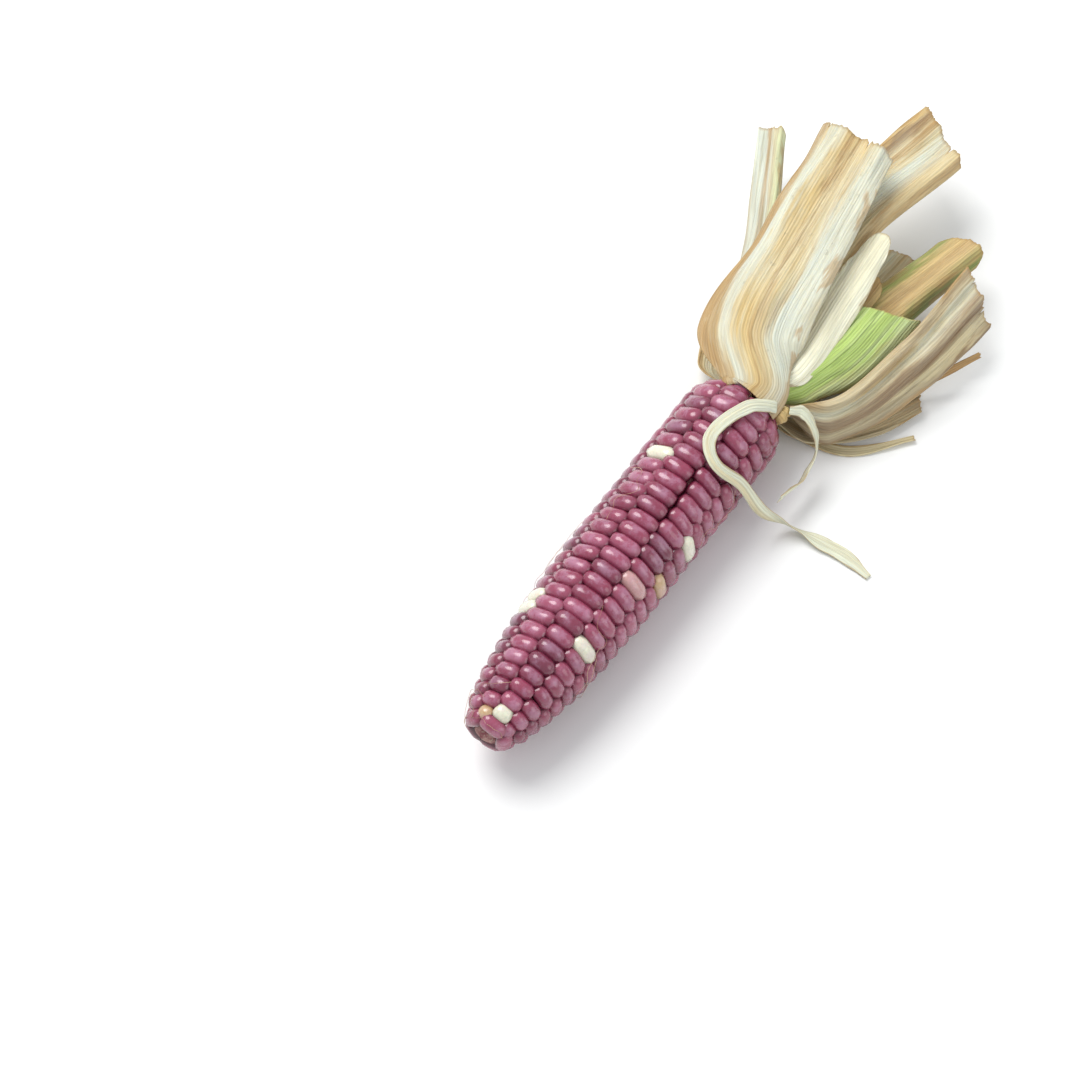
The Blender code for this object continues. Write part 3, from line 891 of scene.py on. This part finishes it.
def leaf_height(leaf, settings, across, travelled, v, free, order):
    """How far the leaf stands out from its smooth plan: ribs, pleats, edge waves and curled edges."""
    seed = order * 5.3
    rib_phase = across / settings.rib_spacing + 0.5 * wander(across * 150, travelled * 8, seed)
    rib = settings.rib_height * math.cos(math.tau * rib_phase)
    rib += 0.1 * MM * wander(across * 900, travelled * 25, seed)
    lean = 0.35 * wander(travelled * 14, seed, 1)
    pleat = leaf.pleat * MM * crease(leaf.pleats * (v + lean) / 2 + seed)
    pleat += 0.4 * leaf.pleat * MM * crease(leaf.pleats * 1.7 * (v - lean) / 2 + 2 * seed)
    wave = settings.wave_height * v * v * wander(travelled / settings.wave_length * 1.6, v * 0.8, seed + 2)
    dent = 0.7 * MM * wander(travelled * 45, across * 60, seed + 4)
    curl = -leaf.curl * MM * v**4
    return rib * min(1, 0.35 + free) + (pleat + wave + dent + curl) * free


def tip_cut(leaf, v, order):
    """How far short of its full length the leaf is torn at this place across it."""
    rough = 0.5 + 0.5 * wander(v * 3.1, order, 7) + 0.35 * wander(v * 14, order, 2)
    short = leaf.ragged * max(0, rough) + TIP_ROUNDING.get(leaf.name, 0) * abs(v)**3
    for place, length in leaf.slits:
        gap = abs(v - place) * SLIT_SHARPNESS
        if gap < 1:
            short = max(short, length * (1 - gap))
    return short * MM


def shape_leaf(piece, leaf, columns, settings, order):
    """Lay the flat grid along the leaf's curve."""
    points, widths, arcs, facings = leaf_profile(leaf)
    lengths = [0.0]
    rows = []
    for row in range(LEAF_SEGMENTS + 1):
        t = PLAN_STEPS * row / LEAF_SEGMENTS
        section = curve_frame(points, t, curve_value(facings, t), SECTION_STEP)
        rows.append((t, section, curve_value(arcs, t), curve_value(widths, t)))
        if row:
            lengths.append(lengths[-1] + (rows[-1][1][0] - rows[-2][1][0]).length)
    total = lengths[-1]
    fibres = []
    for vertex in piece.data.vertices:
        row = round((vertex.co.x + 1) / 2 * LEAF_SEGMENTS)
        v = round((vertex.co.y + 1) / 2 * columns) / columns * 2 - 1
        t, (here, along, out, side), arc, width = rows[row]
        travelled = lengths[row]
        free = ease((t - FREE_FROM) / FREE_OVER)
        radius = width / arc
        bend = v * arc / 2
        lean_out = out * math.cos(bend) + side * math.sin(bend)
        across = v * width / 2
        askew = along * (leaf.slant * MM * v * (t / PLAN_STEPS) ** 3)
        cut = along * (-tip_cut(leaf, v, order) * ease((t - CUT_FROM) / CUT_OVER) ** 2)
        height = leaf_height(leaf, settings, across, travelled, v, free, order)
        vertex.co = here + out * (radius * (math.cos(bend) - 1)) + side * (radius * math.sin(bend))
        vertex.co += askew + cut + lean_out * height
        vertex.co.z = max(vertex.co.z, settings.leaf_thickness)
        fibres.append((v, travelled / total, (across + order * FIBRE_SHIFT, travelled)))
    store_fibres(piece, fibres)


class CORN_OT_husk(Operator):
    """Make the husk leaves, each a thin ribbed sheet in place of its solid"""

    bl_idname = "corn.husk"
    bl_label = "Husk leaves"

    def execute(self, context):
        settings = context.scene.corn.husk
        slots = {part["node"]: part["material_slot"] for part in frame["record"]["subparts"]}
        for order, leaf in enumerate(LEAVES):
            columns = max(8, round(max(leaf.widths) * MM / settings.column_width))
            sheet = new_piece(
                leaf.name + "_sheet", bpy.ops.mesh.primitive_grid_add,
                x_subdivisions=LEAF_SEGMENTS, y_subdivisions=columns, size=2)
            shape_leaf(sheet, leaf, columns, settings, order + 1)
            thicken(sheet, settings.leaf_thickness)
            finish_piece(sheet, husk_material(leaf.name, TINTS[leaf.name]), slots[leaf.name], leaf.name)
        return {"FINISHED"}


def shape_strip(piece, strip, seed):
    """Lay a flat grid along a strip's points, twisted and lightly folded."""
    points = [PLAN_ORIGIN + Vector(point[:3]) * MM for point in strip]
    facings = [point.facing for point in strip]
    turns = [point.turn for point in strip]
    widths = [point.width * MM for point in strip]
    fibres = []
    for vertex in piece.data.vertices:
        share = (vertex.co.x + 1) / 2
        v = vertex.co.y
        t = share * (len(points) - 1)
        _, along, out, side = curve_frame(points, t, curve_value(facings, t))
        turn = Matrix.Rotation(math.radians(curve_value(turns, t)), 3, along)
        out, side = turn @ out, turn @ side
        width = curve_value(widths, t) * (1 + 0.08 * wander(share * 30, seed, 1))
        fold = -0.14 * width * v * v * (0.6 + 0.8 * wander(share * 9, seed, 2))
        ridge = 0.05 * MM * math.cos(v * 9)
        fray = 1 - 0.012 * (1 + wander(v * 5, seed, 4)) * ease((share - 0.9) * 10)
        vertex.co = curve_point(points, t * fray) + side * (v * width / 2) + out * (fold + ridge)
        vertex.co.z = max(vertex.co.z, RIBBON_GAP)
        fibres.append((v, 0.2 + 0.78 * share, (v * width / 2 + seed * 0.01, share * STRIP_FIBRES)))
    store_fibres(piece, fibres)


class CORN_OT_tie(Operator):
    """Make the tie: the band round the neck, its knot and its two loose ends"""

    bl_idname = "corn.tie"
    bl_label = "Tie"

    def loose_end(self, settings, name, strip, seed, material):
        ribbon = new_piece(
            name + "_ribbon", bpy.ops.mesh.primitive_grid_add,
            x_subdivisions=(len(strip) - 1) * 12, y_subdivisions=10, size=2)
        shape_strip(ribbon, strip, seed)
        thicken(ribbon, settings.strip_thickness)
        finish_piece(ribbon, material, "husk_pale", name)

    def band(self, settings, material):
        """The strip wound round the neck, each turn on top of the last."""
        turns = settings.band_turns
        inner = (BAND_HIGH.z - BAND_LOW.z) / 2 - 0.6 * MM
        width = (BAND_HIGH.x - BAND_LOW.x) * 1.05
        middle = (BAND_LOW.x + BAND_HIGH.x) / 2
        band = new_piece(
            "tie_band_wound", bpy.ops.mesh.primitive_grid_add, x_subdivisions=260, y_subdivisions=12, size=2)
        fibres = []
        for vertex in band.data.vertices:
            share = (vertex.co.x + 1) / 2
            v = vertex.co.y
            angle = -70 - 360 * turns * share
            lift = 0.28 * MM * turns * share + 0.12 * MM * math.cos(v * 7)
            lift += 0.25 * MM * wander(share * 14, v, 3)
            drift = 0.6 * MM * math.sin(share * 5.3) + 0.3 * MM * wander(share * 9, 4, 1)
            here = direction(angle) * (inner + 0.3 * MM + lift - 0.35 * MM * v * v)
            vertex.co = Vector((middle + drift + v * width / 2, NECK.y, NECK.z)) + here
            fibres.append((v, 0.3 + 0.6 * share, (v * width / 2, share * turns * math.tau * inner)))
        store_fibres(band, fibres)
        thicken(band, settings.strip_thickness, 1)
        finish_piece(band, material, "husk_dry", "tie_band")

    def knot(self, material):
        """The knot: a pinched lump with the strip's turns pressed into it."""
        centre = (KNOT_LOW + KNOT_HIGH) / 2
        half = (KNOT_HIGH - KNOT_LOW) / 2
        knot = new_piece(
            "tie_knot_pinched", bpy.ops.mesh.primitive_uv_sphere_add, segments=64, ring_count=40, radius=1)
        fibres = []
        for vertex in knot.data.vertices:
            unit = vertex.co.copy()
            turn = math.atan2(unit.y, unit.z)
            pressed = 0.10 * math.cos(9 * unit.x + 1.5 * math.sin(2 * turn)) + 0.12 * wander(*(unit * 2.2))
            waist = 1 - 0.28 * math.exp(-((unit.x - 0.1) / 0.25) ** 2)
            swell = 1.12 + pressed
            vertex.co = centre + Vector((
                unit.x * half.x * 1.1, unit.y * half.y * swell * waist, unit.z * half.z * swell * waist))
            fibres.append((0.0, 0.5, (unit.x * half.x, turn * half.z)))
        store_fibres(knot, fibres)
        finish_piece(knot, material, "husk_dry", "tie_knot")

    def execute(self, context):
        settings = context.scene.corn.tie
        pale = husk_material("tie", TINTS["tie"])
        tan = husk_material("knot", TINTS["knot"])
        self.loose_end(settings, "tie_strip_long", LONG_STRIP, 3, pale)
        self.loose_end(settings, "tie_strip_loop", LOOP_STRIP, 8, pale)
        self.band(settings, tan)
        self.knot(tan)
        return {"FINISHED"}


class CORN_OT_stem(Operator):
    """Give the cut stem its fibrous surface"""

    bl_idname = "corn.stem"
    bl_label = "Stem"

    def execute(self, context):
        stem = frame["nodes"]["stem"]
        stem.data.materials.clear()
        stem.data.materials.append(stem_material())
        return {"FINISHED"}


class CORN_OT_stage(Operator):
    """Make the floor, the soft lights and the camera"""

    bl_idname = "corn.stage"
    bl_label = "Stage"

    def light(self, context, name, place, size, power):
        data = bpy.data.lights.new(name, "AREA")
        data.shape = "DISK"
        data.size = size
        data.energy = power
        lamp = bpy.data.objects.new(name, data)
        context.collection.objects.link(lamp)
        lamp.location = place
        lamp.rotation_euler = (place - Vector((0, 0, 0.02))).to_track_quat("Z", "Y").to_euler()

    def execute(self, context):
        settings = context.scene.corn.stage
        floor = new_piece("floor", bpy.ops.mesh.primitive_plane_add, size=8)
        material, shading, shader = new_material("floor")
        shading.set_inputs(shader, Base_Color=(*settings.floor, 1), Roughness=0.9, Specular_IOR_Level=0.1)
        floor.data.materials.append(material)
        azimuth, elevation = settings.azimuth, settings.elevation
        right = Vector((math.cos(azimuth), math.sin(azimuth), 0))
        away = Vector((-math.sin(azimuth), math.cos(azimuth), 0))
        back = -away * math.cos(elevation) + Vector((0, 0, math.sin(elevation)))
        aim = NECK - right * AIM_LEFT - away * AIM_NEAR
        camera = bpy.data.objects.new("camera", bpy.data.cameras.new("camera"))
        context.collection.objects.link(camera)
        camera.data.lens = settings.focal_length
        camera.data.sensor_width = 36
        camera.data.clip_start = 0.01
        camera.location = aim + back * settings.distance
        camera.rotation_euler = back.to_track_quat("Z", "Y").to_euler()
        context.scene.camera = camera
        for name, (beside, beyond, up), size, power in (
                ("key", KEY_PLACE, KEY_SIZE, settings.key_power),
                ("fill", FILL_PLACE, FILL_SIZE, settings.fill_power)):
            self.light(context, name, right * beside + away * beyond + Vector((0, 0, up)), size, power)
        world = bpy.data.worlds.new("sky")
        world.use_nodes = True
        sky = world.node_tree.nodes["Background"]
        sky.inputs["Color"].default_value = (0.93, 0.96, 1.0, 1)
        sky.inputs["Strength"].default_value = settings.sky
        context.scene.world = world
        context.scene.view_settings.view_transform = "Standard"
        return {"FINISHED"}


STEPS = ("stage", "cob", "kernels", "silk", "stem", "husk", "tie")


class CORN_PT_panel(Panel):
    """The settings and steps of the ear of corn"""

    bl_idname = "CORN_PT_panel"
    bl_label = "Ear of corn"
    bl_space_type = "VIEW_3D"
    bl_region_type = "UI"
    bl_category = "Corn"

    def draw(self, context):
        corn = context.scene.corn
        for name in ("ear", "husk", "tie", "silk", "stage"):
            group = getattr(corn, name)
            box = self.layout.box()
            box.label(text=name.capitalize())
            for key in group.__annotations__:
                box.prop(group, key)
        for step in STEPS:
            self.layout.operator(f"corn.{step}")


CLASSES = (
    EarSettings, HuskSettings, TieSettings, SilkSettings, StageSettings, CornSettings,
    CORN_OT_cob, CORN_OT_kernels, CORN_OT_silk, CORN_OT_husk, CORN_OT_tie, CORN_OT_stem, CORN_OT_stage,
    CORN_PT_panel,
)


def register():
    for made in CLASSES:
        bpy.utils.register_class(made)
    bpy.types.Scene.corn = PointerProperty(type=CornSettings)


def unregister():
    del bpy.types.Scene.corn
    for made in reversed(CLASSES):
        bpy.utils.unregister_class(made)


def main():
    register()
    for step in STEPS:
        getattr(bpy.ops.corn, step)()


if __name__ == "__main__":
    main()
